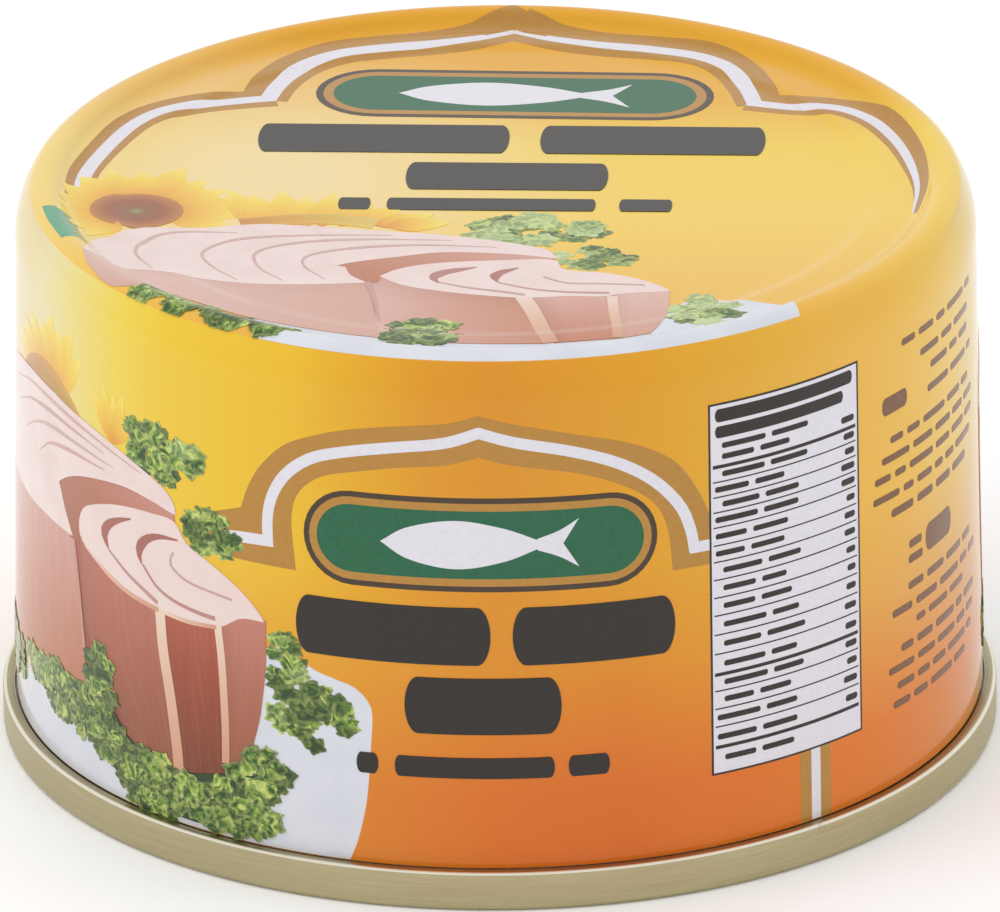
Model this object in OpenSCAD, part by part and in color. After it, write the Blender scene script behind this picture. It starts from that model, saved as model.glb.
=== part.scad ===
// Small round tuna can, standing on its seamed end.
// A drawn and printed body, closed at the top, and the end that is double-seamed on below.
// Units are millimetres. +Z is up, and the origin is the centre of the circle that the can stands on.

/* [Body] */
// Diameter of the wall just above the seam
wall_d = 66.3; // [55:0.1:90]
// How much narrower the wall is where the shoulder starts, across the diameter
wall_draft = 0.8; // [0:0.1:1.6]
// Overall height, from the foot of the seam to the crown of the closed end
can_h = 39.7; // [25:0.1:90]

/* [Shoulder and crown] */
// Radius of the lower, softer part of the shoulder
shoulder_r = 6.1; // [3:0.1:8]
// Angle that the softer part of the shoulder turns through
shoulder_turn = 32; // [15:1:60]
// Radius of the crown, the rounded ridge that runs round the closed end
crown_r = 1.4; // [0.8:0.1:2.4]

/* [Closed end] */
// Steepest slope of the fall from the crown to the panel
fall_slope = 45; // [25:1:65]
// Radius of the hollow at the foot of the fall
fall_r = 1.85; // [0.8:0.05:3]
// Width of the flat margin between the fall and the shallow step
margin_w = 2.2; // [0.5:0.1:8]
// Width of the slope of the shallow step in the panel
step_w = 0.8; // [0.3:0.1:2]
// Depth of the shallow step
step_h = 0.2; // [0.1:0.05:0.6]

/* [Double seam] */
// Height of the seam
seam_h = 2.8; // [2.2:0.1:3.4]
// How far the seam stands out from the wall
seam_overhang = 0.95; // [0.7:0.05:1.4]
// Thickness of the seam, from its outside to the chuck wall
seam_t = 1.2; // [1.05:0.05:1.6]
// Radius of the seam's foot, inside and outside
foot_r = 0.45; // [0.2:0.05:0.5]
// Radius of the seam's upper lip
lip_r = 0.35; // [0.1:0.05:0.45]
// Width of the crevice between the lip and the wall
crevice_w = 0.15; // [0.05:0.05:0.25]
// Depth of the crevice
crevice_h = 0.5; // [0.2:0.1:1]

/* [Seamed end] */
// Thickness of the sheet at the bottom of the countersink
end_t = 0.25; // [0.2:0.05:0.5]
// Depth of the countersink above the seam's foot
sink_h = 3.2; // [3:0.1:3.8]
// Width of the groove at the bottom of the countersink
groove_w = 1.3; // [0.8:0.1:2]
// How far the chuck wall leans in over its height
chuck_lean = 0.2; // [0.05:0.05:0.3]
// Depth of the end panel above the seam's foot
panel_h = 2.4; // [1.6:0.1:2.6]
// Radius of the panel's edge, where it turns into the groove
panel_edge_r = 0.5; // [0.2:0.1:0.6]
// Width of the flat band between the groove and the expansion bead
band_w = 3.2; // [2:0.1:6]
// Radius of the expansion bead's rounded section
bead_r = 1.6; // [1:0.1:3]
// How far the bead stands proud of the panel
bead_h = 0.45; // [0.2:0.05:0.8]
// Width of the flat ring between the bead and the centre
ring_w = 4.5; // [3:0.1:8]
// Width of the slope round the centre of the end
centre_slope_w = 1; // [0.5:0.1:2]
// How much deeper the centre lies than the ring round it
centre_h = 0.35; // [0.1:0.05:0.6]

/* [Hidden] */
$fn = 128;

// Cutters run this far past what they cut
past = 1;

// Wall
wall_r = wall_d / 2;
neck_r = wall_r - wall_draft / 2;

// Centres of the shoulder arc, of the crown and of the hollow at the foot of the fall
neck_z = can_h - crown_r - (shoulder_r - crown_r) * sin(shoulder_turn);
shoulder_c = [neck_r - shoulder_r, neck_z];
crown_c = shoulder_c + (shoulder_r - crown_r) * [cos(shoulder_turn), sin(shoulder_turn)];
fall_c = crown_c + (crown_r + fall_r) * [-sin(fall_slope), cos(fall_slope)];
fall_mid = crown_c + crown_r * [-sin(fall_slope), cos(fall_slope)];
shoulder_end = crown_c + crown_r * [cos(shoulder_turn), sin(shoulder_turn)];

// Panel of the closed end
top_z = fall_c.y - fall_r;
step_r = fall_c.x - margin_w;

// Seam and countersink
seam_r = wall_r + seam_overhang;
chuck_r = seam_r - seam_t;
sink_r = chuck_r - chuck_lean;
plug_z = sink_h + end_t;
plug_r = chuck_r;
groove_r = groove_w / 2;
groove_c = [sink_r - groove_r, sink_h - groove_r];
panel_edge_z = panel_h + panel_edge_r;
panel_edge_dx = sqrt(pow(groove_r + panel_edge_r, 2) - pow(panel_edge_z - groove_c.y, 2));
panel_edge_c = [groove_c.x - panel_edge_dx, panel_edge_z];
panel_r = panel_edge_c.x;
bead_half_w = sqrt(bead_r * bead_r - (bead_r - bead_h) * (bead_r - bead_h));
bead_c = [panel_r - band_w - bead_half_w, panel_h + bead_r - bead_h];
centre_r = bead_c.x - bead_half_w - ring_w;

// Wedge with its tip at p, from level up to the given angle, longer than the reach
module wedge(p, angle, reach) {
    polygon([p, p + [2 * reach, 0], p + 2 * reach * [cos(angle), sin(angle)]]);
}

// Right half of the drawn body's section: wall, shoulder, crown, fall and stepped panel
module body_section() {
    difference() {
        union() {
            polygon([
                [0, seam_h], [wall_r, seam_h], [neck_r, neck_z], shoulder_end,
                [crown_c.x, can_h], fall_mid, [fall_c.x, top_z], [0, top_z]
            ]);
            intersection() {
                translate(shoulder_c) circle(r = shoulder_r);
                wedge(shoulder_c, shoulder_turn, shoulder_r);
            }
            translate(crown_c) circle(r = crown_r);
        }
        translate(fall_c) circle(r = fall_r);
        polygon([
            [0, top_z - step_h], [step_r - step_w, top_z - step_h],
            [step_r, top_z], [step_r, top_z + past], [0, top_z + past]
        ]);
        // Seat of the seamed end inside the foot of the wall
        translate([0, seam_h - past]) square([plug_r, plug_z - seam_h + past]);
    }
}

// Right half of the seam's section, a bar with a round foot and a round lip
module seam_section() {
    foot_c = [[chuck_r + foot_r, foot_r], [seam_r - foot_r, foot_r]];
    lip_c = [seam_r - lip_r, seam_h - lip_r];
    difference() {
        union() {
            for (c = foot_c) translate(c) circle(r = foot_r);
            translate([foot_c[0].x, 0]) square([foot_c[1].x - foot_c[0].x, seam_h]);
            translate([chuck_r, foot_r]) square([seam_t, lip_c.y - foot_r]);
            translate([chuck_r, foot_r]) square([lip_c.x - chuck_r, seam_h - foot_r]);
            translate(lip_c) circle(r = lip_r);
        }
        translate([wall_r, seam_h - crevice_h]) square([crevice_w, crevice_h + past]);
    }
}

// Right half of the hollow below the end: groove, panel and a centre that lies a little deeper
module hollow_section() {
    polygon([[0, -past], [chuck_r, -past], [chuck_r, foot_r], [sink_r, groove_c.y],
             groove_c, panel_edge_c, [panel_r, panel_h], [0, panel_h]]);
    translate(groove_c) circle(r = groove_r);
    polygon([[0, panel_h - past], [centre_r, panel_h - past], [centre_r, panel_h],
             [centre_r - centre_slope_w, panel_h + centre_h], [0, panel_h + centre_h]]);
}

// Drawn and printed body, closed at the top and full, so it is solid
module can_body() {
    color([0.9, 0.67, 0.2]) rotate_extrude() body_section();
}

// Lacquered end with its double seam, countersink, panel, expansion bead and centre
module seamed_end() {
    color([0.7, 0.65, 0.5]) rotate_extrude() {
        seam_section();
        difference() {
            square([plug_r, plug_z]);
            difference() {
                hollow_section();
                translate(panel_edge_c) circle(r = panel_edge_r);
                translate(bead_c) circle(r = bead_r);
            }
        }
    }
}

can_body();
seamed_end();
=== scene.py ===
import math

import bmesh
import bpy
import numpy as np
from mathutils import Matrix, Vector


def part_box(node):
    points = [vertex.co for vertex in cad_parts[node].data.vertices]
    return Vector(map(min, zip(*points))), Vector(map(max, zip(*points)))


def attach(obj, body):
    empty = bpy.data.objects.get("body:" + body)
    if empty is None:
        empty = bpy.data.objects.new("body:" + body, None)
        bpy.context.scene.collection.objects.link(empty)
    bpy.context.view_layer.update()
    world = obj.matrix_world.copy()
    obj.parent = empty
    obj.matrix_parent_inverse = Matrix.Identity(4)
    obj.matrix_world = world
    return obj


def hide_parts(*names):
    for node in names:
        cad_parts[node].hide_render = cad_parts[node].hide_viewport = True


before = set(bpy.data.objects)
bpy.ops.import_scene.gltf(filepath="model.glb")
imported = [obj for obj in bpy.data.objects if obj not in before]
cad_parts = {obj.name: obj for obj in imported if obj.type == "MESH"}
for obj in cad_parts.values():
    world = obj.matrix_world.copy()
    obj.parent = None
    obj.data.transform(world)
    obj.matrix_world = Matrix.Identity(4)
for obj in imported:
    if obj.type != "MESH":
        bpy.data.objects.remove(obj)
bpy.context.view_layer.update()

# A small round tuna can: a printed, drawn body standing on its lacquered, double-seamed end.

# ----------------------------------------
# Camera, floor and light. A long lens looks down on the can from the front. The floor is matt
# white board, and a white tent and one large soft box above light it, so all reflections are pale.
# ----------------------------------------

MM = 0.001

camera_distance = 1523 * MM
camera_height = 666 * MM
camera_side = 0.15 * MM
camera_tilt = 0.401777
camera_roll = -0.00897
lens_mm = 871.04


def linked(name, data):
    """A new object of this data, put in the scene."""
    thing = bpy.data.objects.new(name, data)
    bpy.context.scene.collection.objects.link(thing)
    return thing


camera = linked("camera", bpy.data.cameras.new("camera"))
camera.data.lens = lens_mm
camera.data.sensor_width = 36
camera.data.clip_start = 0.1
camera.data.clip_end = 10
camera.matrix_world = (
    Matrix.Translation((camera_side, -camera_distance, camera_height))
    @ Matrix.Rotation(math.pi / 2 - camera_tilt, 4, "X")
    @ Matrix.Rotation(camera_roll, 4, "Z")
)
bpy.context.scene.camera = camera
bpy.context.scene.view_settings.view_transform = "Standard"


def linear(hex_colour):
    """An sRGB colour such as "#C0A060" as linear red, green, blue and an alpha of 1."""
    parts = [int(hex_colour[i:i + 2], 16) / 255 for i in (1, 3, 5)]
    return [p / 12.92 if p <= 0.04045 else ((p + 0.055) / 1.055) ** 2.4 for p in parts] + [1]


def add(tree, kind, inputs=None, stops=None, **settings):
    """Adds one shader node. settings are its properties, stops a ramp's places and colours, and
    inputs gives each socket a value, an sRGB colour or the output that feeds it."""
    node = tree.nodes.new(kind)
    for key, value in settings.items():
        setattr(node, key, value)
    for socket, value in (inputs or {}).items():
        if isinstance(value, bpy.types.NodeSocket):
            tree.links.new(value, node.inputs[socket])
        else:
            node.inputs[socket].default_value = linear(value) if isinstance(value, str) else value
    if stops:
        elements = node.color_ramp.elements
        while len(elements) < len(stops):
            elements.new(1)
        for element, (place, colour) in zip(elements, stops):
            element.position = place
            element.color = linear(colour)
    return node


def finish_of(name):
    """A new material and its tree and surface shader."""
    material = bpy.data.materials.new(name)
    material.use_nodes = True
    tree = material.node_tree
    return material, tree, tree.nodes["Principled BSDF"]


world = bpy.data.worlds.new("white_tent")
world.use_nodes = True
tent_strength = 0.91
tent = world.node_tree.nodes["Background"].inputs
tent["Color"].default_value = linear("#FFFFFF")
tent["Strength"].default_value = tent_strength
bpy.context.scene.world = world

floor_half = 2.5
floor_mesh = bpy.data.meshes.new("floor")
floor_mesh.from_pydata(
    [(x * floor_half, y * floor_half, 0) for x, y in ((-1, -1), (1, -1), (1, 1), (-1, 1))],
    [], [(0, 1, 2, 3)],
)
floor = linked("floor", floor_mesh)
matt_board, tree, shader = finish_of("matt_white_board")
# Uncoated white board: almost no gloss, and a very faint cloudiness
cloud = add(tree, "ShaderNodeTexNoise", {
    "Vector": add(tree, "ShaderNodeTexCoord").outputs["Object"], "Scale": 6, "Detail": 2,
})
shade = add(tree, "ShaderNodeValToRGB", {"Fac": cloud.outputs["Fac"]},
            stops=[(0.3, "#FCFCFC"), (0.7, "#FEFEFD")])
tree.links.new(shade.outputs["Color"], shader.inputs["Base Color"])
shader.inputs["Roughness"].default_value = 0.9
# The sweep is lit from below as well, so the ground by the can stays white
shader.inputs["Emission Color"].default_value = linear("#FFFFFF")
shader.inputs["Emission Strength"].default_value = 0.045
floor_mesh.materials.append(matt_board)

# Soft boxes: name, place, width in metres, power in watts
for name, place, width, power in (
    ("box_above", (-0.25, 0.1, 1.3), 1.1, 2.9),
    ("box_left", (-1.3, -0.5, 0.9), 0.9, 2.2),
):
    light = bpy.data.lights.new(name, "AREA")
    light.size = width
    light.energy = power
    soft_box = linked(name, light)
    soft_box.location = place
    soft_box.rotation_mode = "QUATERNION"
    soft_box.rotation_quaternion = Vector(place).to_track_quat("Z", "Y")
    soft_box.visible_camera = False
    soft_box.visible_glossy = False

# ----------------------------------------
# Drawn body: one cup of tinplate, drawn with a round shoulder, a crown and a sunk panel, and
# printed and gloss-lacquered flat before drawing. It is turned round the axis as one surface.
# ----------------------------------------

body_low, body_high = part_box("can_body")
end_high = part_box("seamed_end")[1]
can_h = body_high.z / MM
wall_r = body_high.x / MM
seam_r = end_high.x / MM
plug_z = end_high.z / MM
seam_h = body_low.z / MM

wall_draft, seam_t = 0.4, 1.2
neck_r = wall_r - wall_draft
plug_r = seam_r - seam_t
shoulder_r, shoulder_turn = 6.1, 32
crown_r, fall_slope, fall_r = 1.4, 45, 1.85
margin_w, step_w, step_h = 2.2, 0.8, 0.2
# The step's corners are eased by this much across and up
ease_w, ease_h = 0.12, 0.03


def arc(centre, radius, start, end, steps):
    """Points on a circle, from one angle in degrees to another, at even steps."""
    t = np.radians(np.linspace(start, end, steps + 1))
    return np.stack([centre[0] + radius * np.cos(t), centre[1] + radius * np.sin(t)], 1)


turn, slope = math.radians(shoulder_turn), math.radians(fall_slope)
neck_z = can_h - crown_r - (shoulder_r - crown_r) * math.sin(turn)
shoulder_c = np.array([neck_r - shoulder_r, neck_z])
crown_c = shoulder_c + (shoulder_r - crown_r) * np.array([math.cos(turn), math.sin(turn)])
fall_c = crown_c + (crown_r + fall_r) * np.array([-math.sin(slope), math.cos(slope)])
top_z = fall_c[1] - fall_r
step_r = fall_c[0] - margin_w

wall_line = np.stack([np.linspace(wall_r, neck_r, 34), np.linspace(seam_h, neck_z, 34)], 1)
closed_end = np.concatenate([
    arc(shoulder_c, shoulder_r, 0, shoulder_turn, 14)[1:],
    arc(crown_c, crown_r, shoulder_turn, 90 + fall_slope, 26)[1:],
    arc(fall_c, fall_r, fall_slope - 90, -90, 14)[1:],
    [[step_r + step_w, top_z], [step_r + ease_w, top_z], [step_r - ease_w, top_z - ease_h],
     [step_r - step_w + ease_w, top_z - step_h + ease_h],
     [step_r - step_w - ease_w, top_z - step_h]],
    np.stack([np.linspace(step_r - step_w - 1, 0, 20), np.full(20, top_z - step_h)], 1),
])
foot = np.array([[0, plug_z], [plug_r, plug_z], [plug_r, seam_h], [wall_r, seam_h]])
body_profile = np.concatenate([foot, wall_line[1:], closed_end])


def close_and_smooth(mesh, near, sharp_degrees):
    """Joins points nearer than a distance in metres, which closes seams and poles, and shades the
    mesh smooth except at edges sharper than an angle."""
    tidy = bmesh.new()
    tidy.from_mesh(mesh)
    bmesh.ops.remove_doubles(tidy, verts=tidy.verts, dist=near)
    tidy.to_mesh(mesh)
    tidy.free()
    mesh.polygons.foreach_set("use_smooth", np.ones(len(mesh.polygons), bool))
    mesh.set_sharp_from_angle(angle=math.radians(sharp_degrees))


def lathe(name, profile, sides, sharp_degrees=40):
    """Surface of revolution. Point (i, j) is profile point j turned by i parts of a full circle:
    x is its radius times the sine of the turn, y minus its radius times the cosine, and z its
    height. Profile ends on the axis close in one point. The UV map is the turn and the height."""
    t = 2 * np.pi * np.arange(sides) / sides
    r, z = profile[:, 0] * MM, profile[:, 1] * MM
    grid = np.stack([
        np.sin(t)[:, None] * r, -np.cos(t)[:, None] * r, np.broadcast_to(z, (sides, len(z))),
    ], -1)
    count = len(profile)
    i, j = np.meshgrid(np.arange(sides), np.arange(count - 1), indexing="ij")
    k = (i + 1) % sides
    quads = np.stack([i * count + j, k * count + j, k * count + j + 1, i * count + j + 1], -1)
    turns = np.stack([i, i + 1, i + 1, i], -1) / sides
    heights = profile[np.stack([j, j, j + 1, j + 1], -1), 1] / can_h
    mesh = bpy.data.meshes.new(name)
    mesh.from_pydata(grid.reshape(-1, 3), [], quads.reshape(-1, 4))
    uv = mesh.uv_layers.new(name="UVMap")
    uv.data.foreach_set("uv", np.stack([turns, heights], -1).astype(np.float32).ravel())
    close_and_smooth(mesh, 1e-7, sharp_degrees)
    return linked(name, mesh)


def second_finish(piece, radius, above=-math.inf):
    """Gives the piece's second material to the faces whose middles lie within a radius of the
    axis and above a height, both in millimetres."""
    faces = piece.data.polygons
    middles = np.empty(3 * len(faces), np.float32)
    faces.foreach_get("center", middles)
    x, y, z = middles.reshape(-1, 3).T / MM
    within = (np.hypot(x, y) < radius) & (z > above)
    faces.foreach_set("material_index", within.astype(np.int32))


def lacquer(tree, shader):
    """Clear gloss lacquer over ink: IOR 1.5, low roughness and a very slight unevenness."""
    shader.inputs["IOR"].default_value = 1.5
    shader.inputs["Roughness"].default_value = 0.09
    # Ripples of the lacquer film, about 2 mm across
    ripple = add(tree, "ShaderNodeTexNoise", {
        "Vector": add(tree, "ShaderNodeTexCoord").outputs["Object"], "Scale": 500, "Detail": 1,
    })
    bump = add(tree, "ShaderNodeBump", {
        "Height": ripple.outputs["Fac"], "Strength": 0.03, "Distance": 0.0002,
    })
    tree.links.new(bump.outputs["Normal"], shader.inputs["Normal"])


printed_wall, tree, shader = finish_of("litho_printed_tinplate_wall")
# Yellow that deepens to orange towards the seam. Twice round the can it pales to cream, partly
# printed cream and partly a painted reflection: the whitening of the gloss at the wall's left side.
lacquer(tree, shader)
place = add(tree, "ShaderNodeSeparateXYZ", {"Vector": add(tree, "ShaderNodeUVMap").outputs["UV"]})
height = place.outputs["Y"]
twice = add(tree, "ShaderNodeMath", {0: place.outputs["X"], 1: 2}, operation="MULTIPLY")
around = add(tree, "ShaderNodeMath", {0: twice.outputs[0]}, operation="FRACT").outputs[0]
high, middle, low = (
    add(tree, "ShaderNodeValToRGB", {"Fac": around}, stops=stops).outputs["Color"] for stops in (
        ((0.0, "#D78C04"), (0.10, "#DD9B0A"), (0.19, "#E0A929"), (0.25, "#E5B03C"),
         (0.31, "#E7B43C"), (0.39, "#E6BE4C"), (0.45, "#DDBB62"), (0.52, "#DCC484"),
         (0.57, "#DECB94"), (0.614, "#E1D49F"), (0.662, "#E4D279"), (0.711, "#E7CC47"),
         (0.76, "#E7C12B"), (0.81, "#E6BC23"), (0.86, "#E5B61C"), (0.905, "#E0A508"),
         (0.955, "#DA9204"), (1.0, "#D78C04")),
        ((0.0, "#D98706"), (0.08, "#DA8306"), (0.125, "#DD8B08"), (0.28, "#E09D34"),
         (0.42, "#D9A04A"), (0.52, "#D8B880"), (0.60, "#E0CC98"), (0.68, "#E2C67A"),
         (0.76, "#E2AE40"), (0.85, "#DE9A1E"), (1.0, "#D98706")),
        ((0.0, "#D66A04"), (0.08, "#D66606"), (0.13, "#D96C06"), (0.28, "#DE7508"),
         (0.42, "#D67C20"), (0.50, "#D8A06C"), (0.55, "#DFC8A8"), (0.62, "#E0CDB0"),
         (0.72, "#DEB070"), (0.85, "#D88418"), (1.0, "#D66A04")),
    )
)
field = low
for start, end, above in ((0.20, 0.42, middle), (0.40, 0.62, high)):
    rise = add(tree, "ShaderNodeMapRange", {"Value": height, "From Min": start, "From Max": end})
    field = add(tree, "ShaderNodeMix", {0: rise.outputs["Result"], 6: field, 7: above},
                data_type="RGBA").outputs[2]
tree.links.new(field, shader.inputs["Base Color"])

printed_lid, tree, shader = finish_of("litho_printed_tinplate_closed_end")
# The same yellow, deeper towards the back and paling to cream round a spot left of the middle:
# partly printed cream behind the title and partly a painted highlight of the tent's glare.
lacquer(tree, shader)
spot = add(tree, "ShaderNodeTexCoord").outputs["Object"]
axes = add(tree, "ShaderNodeSeparateXYZ", {"Vector": spot})
depth = add(tree, "ShaderNodeMapRange", {
    "Value": axes.outputs["Y"], "From Min": -0.031, "From Max": 0.031,
}).outputs["Result"]
cream_spot_distance = add(tree, "ShaderNodeVectorMath", {0: spot, 1: (-0.015, 0.003, 0.0386)},
                 operation="DISTANCE").outputs["Value"]
cream_print_and_highlight = add(tree, "ShaderNodeMapRange", {
    "Value": cream_spot_distance, "From Min": 0.004, "From Max": 0.024,
}).outputs["Result"]
yellow = add(tree, "ShaderNodeValToRGB", {"Fac": depth}, stops=[
    (0.0, "#E3A63A"), (0.2, "#E6B644"), (0.42, "#EAC64C"), (0.62, "#E9C63C"), (0.76, "#E0A818"),
    (0.95, "#DE9E0E"),
]).outputs["Color"]
cream = add(tree, "ShaderNodeMix", {0: cream_print_and_highlight, 6: "#E9D196", 7: yellow}, data_type="RGBA")
tree.links.new(cream.outputs[2], shader.inputs["Base Color"])

body = lathe("drawn_body", body_profile, 480)
body.data.materials.append(printed_wall)
body.data.materials.append(printed_lid)
# The closed end's print reaches this far out, over the crown
art_r = 31.7
second_finish(body, art_r, top_z - 2)
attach(body, "root")
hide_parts("can_body")

# ----------------------------------------
# Seamed end: the can's flat end of lacquered tinplate. Its rim is rolled with the body's flange
# into the double seam that the can stands on, and beads stiffen the sunk panel underneath.
# ----------------------------------------

chuck_r, foot_r, lip_r = 32.9, 0.45, 0.35
groove_c, groove_r = (32.05, 2.55), 0.65
bead_c, bead_r = (26.64, 3.55), 1.6
seam_profile = np.concatenate([
    [[0, 2.75], [14, 2.75], [20.0, 2.75], [20.12, 2.73], [20.88, 2.42], [21.0, 2.4], [25.3, 2.4]],
    arc(bead_c, bead_r, -133, -47, 16),
    [[28.0, 2.4], [30.6, 2.4]],
    arc((30.75, 2.9), 0.5, -90, -10, 8),
    arc(groove_c, groove_r, 158, 4, 16),
    arc((chuck_r + foot_r, foot_r), foot_r, 180, 270, 8),
    arc((seam_r - foot_r, foot_r), foot_r, 270, 360, 8),
    arc((seam_r - lip_r, seam_h - lip_r), lip_r, 0, 90, 8),
    [[wall_r + 0.2, seam_h], [wall_r + 0.12, seam_h - 0.06], [wall_r + 0.1, 2.2],
     [wall_r - 0.15, 2.2], [wall_r - 0.15, plug_z], [0, plug_z]],
])
end = lathe("seamed_end_with_double_seam", seam_profile, 480, 50)
gold_lacquer, tree, shader = finish_of("gold_lacquered_tinplate")
# Dull tin under a thin gold lacquer: metal, brushed round by the seaming rollers
shader.inputs["Metallic"].default_value = 1
where = add(tree, "ShaderNodeSeparateXYZ", {"Vector": add(tree, "ShaderNodeUVMap").outputs["UV"]})
# Roller marks: fine rings up the rim, many times longer round the can than across
rings = add(tree, "ShaderNodeTexNoise", {
    "Vector": add(tree, "ShaderNodeCombineXYZ", {
        "X": add(tree, "ShaderNodeMath", {0: where.outputs["X"], 1: 30},
                 operation="MULTIPLY").outputs[0],
        "Y": add(tree, "ShaderNodeMath", {0: where.outputs["Y"], 1: 260},
                 operation="MULTIPLY").outputs[0],
    }).outputs[0],
    "Scale": 1, "Detail": 3,
}).outputs["Fac"]
# A painted highlight: where the sheet is bent over at the top of the seam, a bright line of
# pale tin colour is painted in, as a reflection would show there.
over_lip = add(tree, "ShaderNodeMapRange", {
    "Value": where.outputs["Y"], "From Min": (seam_h - lip_r) / can_h, "From Max": seam_h / can_h,
}).outputs["Result"]
lip_highlight = add(tree, "ShaderNodeValToRGB", {"Fac": over_lip}, stops=[
    (0.5, "#000000"), (0.62, "#F0F0F0"), (0.93, "#F0F0F0"), (0.99, "#000000"),
])
gold = add(tree, "ShaderNodeValToRGB", {"Fac": rings}, stops=[(0.3, "#B1A580"), (0.7, "#BDB390")])
gold = add(tree, "ShaderNodeMix", {
    0: lip_highlight.outputs["Color"], 6: gold.outputs["Color"], 7: "#F7F1E0",
}, data_type="RGBA")
# Sparse handling nicks, about 0.5 mm across
nicks = add(tree, "ShaderNodeTexNoise", {
    "Vector": add(tree, "ShaderNodeTexCoord").outputs["Object"], "Scale": 900, "Detail": 2,
}).outputs["Fac"]
nicked = add(tree, "ShaderNodeValToRGB", {"Fac": nicks}, stops=[(0.71, "#000000"), (0.78, "#808080")])
gold = add(tree, "ShaderNodeMix", {
    0: nicked.outputs["Color"], 6: gold.outputs[2], 7: "#7C7254",
}, data_type="RGBA")
tree.links.new(gold.outputs[2], shader.inputs["Base Color"])
gloss = add(tree, "ShaderNodeMapRange", {"Value": rings, "To Min": 0.36, "To Max": 0.42})
tree.links.new(gloss.outputs["Result"], shader.inputs["Roughness"])
brush = add(tree, "ShaderNodeBump", {"Height": rings, "Strength": 0.08, "Distance": 0.0001})
tree.links.new(brush.outputs["Normal"], shader.inputs["Normal"])
end.data.materials.append(gold_lacquer)
rolled_panel, tree, shader = finish_of("gold_lacquered_tinplate_rolled")
# The panel keeps the sheet's own rolling grain: fine straight lines all one way
shader.inputs["Metallic"].default_value = 1
drawn_out = add(tree, "ShaderNodeVectorMath", {
    0: add(tree, "ShaderNodeTexCoord").outputs["Object"], 1: (40, 4500, 40),
}, operation="MULTIPLY").outputs["Vector"]
grain = add(tree, "ShaderNodeTexNoise", {
    "Vector": drawn_out, "Scale": 1, "Detail": 3,
}).outputs["Fac"]
rolled = add(tree, "ShaderNodeValToRGB", {"Fac": grain}, stops=[(0.3, "#B4A984"), (0.7, "#BCB28F")])
tree.links.new(rolled.outputs["Color"], shader.inputs["Base Color"])
gloss = add(tree, "ShaderNodeMapRange", {"Value": grain, "To Min": 0.3, "To Max": 0.34})
tree.links.new(gloss.outputs["Result"], shader.inputs["Roughness"])
end.data.materials.append(rolled_panel)
rolled_r = 31.4
second_finish(end, rolled_r)
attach(end, "root")
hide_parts("seamed_end")

# ----------------------------------------
# Print: frame line. A white keyline between two tan bands is litho ink under the lacquer. It arches
# over the badge on the wall, runs behind the facts panel, and is drawn again on the closed end.
# ----------------------------------------

print_r = 33.0
repeat = math.pi * print_r
ink_root, film_rise = 0.004, 0.004
wall_step, lid_step = 0.6, 0.2
lid_line = closed_end[::-1]


def evenly(line, count):
    """count + 1 points at even steps of length along the straight pieces of a line."""
    run = np.concatenate([[0], np.cumsum(np.hypot(*np.diff(line, axis=0).T))])
    at = np.linspace(0, run[-1], count + 1)
    return np.stack([np.interp(at, run, line[:, 0]), np.interp(at, run, line[:, 1])], 1)


def resample(points, count):
    """count + 1 points at even steps of length along a smooth line through the points. Each span
    is a Catmull-Rom cubic; the line is straight where the points are two."""
    p = np.asarray(points, float)
    if len(p) > 2:
        q = np.concatenate([[2 * p[0] - p[1]], p, [2 * p[-1] - p[-2]]])
        t = np.linspace(0, 1, 12, endpoint=False)[:, None, None]
        a, b, c, d = q[:-3], q[1:-2], q[2:-1], q[3:]
        span = 0.5 * (2 * b + (c - a) * t + (2 * a - 5 * b + 4 * c - d) * t ** 2
                      + (3 * b - a - 3 * c + d) * t ** 3)
        p = np.concatenate([span.transpose(1, 0, 2).reshape(-1, 2), p[-1:]])
    return evenly(p, count)


def strip(first, second, step):
    """Ruled patch: straight lines joining two lines at the same part of their lengths. A line of
    more than 24 points is already smooth."""
    longest = max(np.hypot(*np.diff(resample(e, 24), axis=0).T).sum() for e in (first, second))
    along = max(2, math.ceil(longest / step))
    a, b = (evenly(e, along) if len(e) > 24 else resample(e, along) for e in (first, second))
    across = max(1, math.ceil(np.hypot(*(a - b).T).max() / step))
    v = np.linspace(0, 1, across + 1)[:, None]
    return a[:, None] * (1 - v) + b[:, None] * v


def ribbon(line, width, step, offset=0):
    """A band along a line. The width is one number, or several at even steps along it. Its
    middle lies offset to the left of the line."""
    p = resample(line, 48)
    way = np.gradient(p, axis=0)
    left = np.stack([-way[:, 1], way[:, 0]], 1) / np.hypot(*way.T)[:, None]
    widths = np.broadcast_to(width, 2) if np.size(width) < 2 else np.asarray(width, float)
    wide = np.interp(np.linspace(0, 1, len(p)), np.linspace(0, 1, len(widths)), widths)[:, None]
    return strip(p + left * (offset + wide / 2), p + left * (offset - wide / 2), step)


def on_wall(place, lift):
    """A spot s round from the front and h up on the wall, lifted off it along the radius."""
    s, h = place[..., 0], place[..., 1]
    r = np.interp(h, [seam_h, neck_z], [wall_r, neck_r]) + lift
    t = s / print_r
    return np.stack([r * np.sin(t), -r * np.cos(t), h], -1) * MM


def on_lid(place, lift):
    """A spot x, y on the closed end, lifted off its profile along the normal."""
    x, y = place[..., 0], place[..., 1]
    far = np.hypot(x, y)
    r = np.clip(far, 1e-6, art_r)
    tangent = np.gradient(lid_line, axis=0)
    lean = np.interp(r, lid_line[:, 0], np.arctan2(-tangent[:, 1], tangent[:, 0]))
    z = np.interp(r, lid_line[:, 0], lid_line[:, 1]) + lift * np.cos(lean)
    grow = (r + lift * np.sin(lean)) / np.maximum(far, 1e-6)
    return np.stack([x * grow, y * grow, z], -1) * MM


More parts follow.
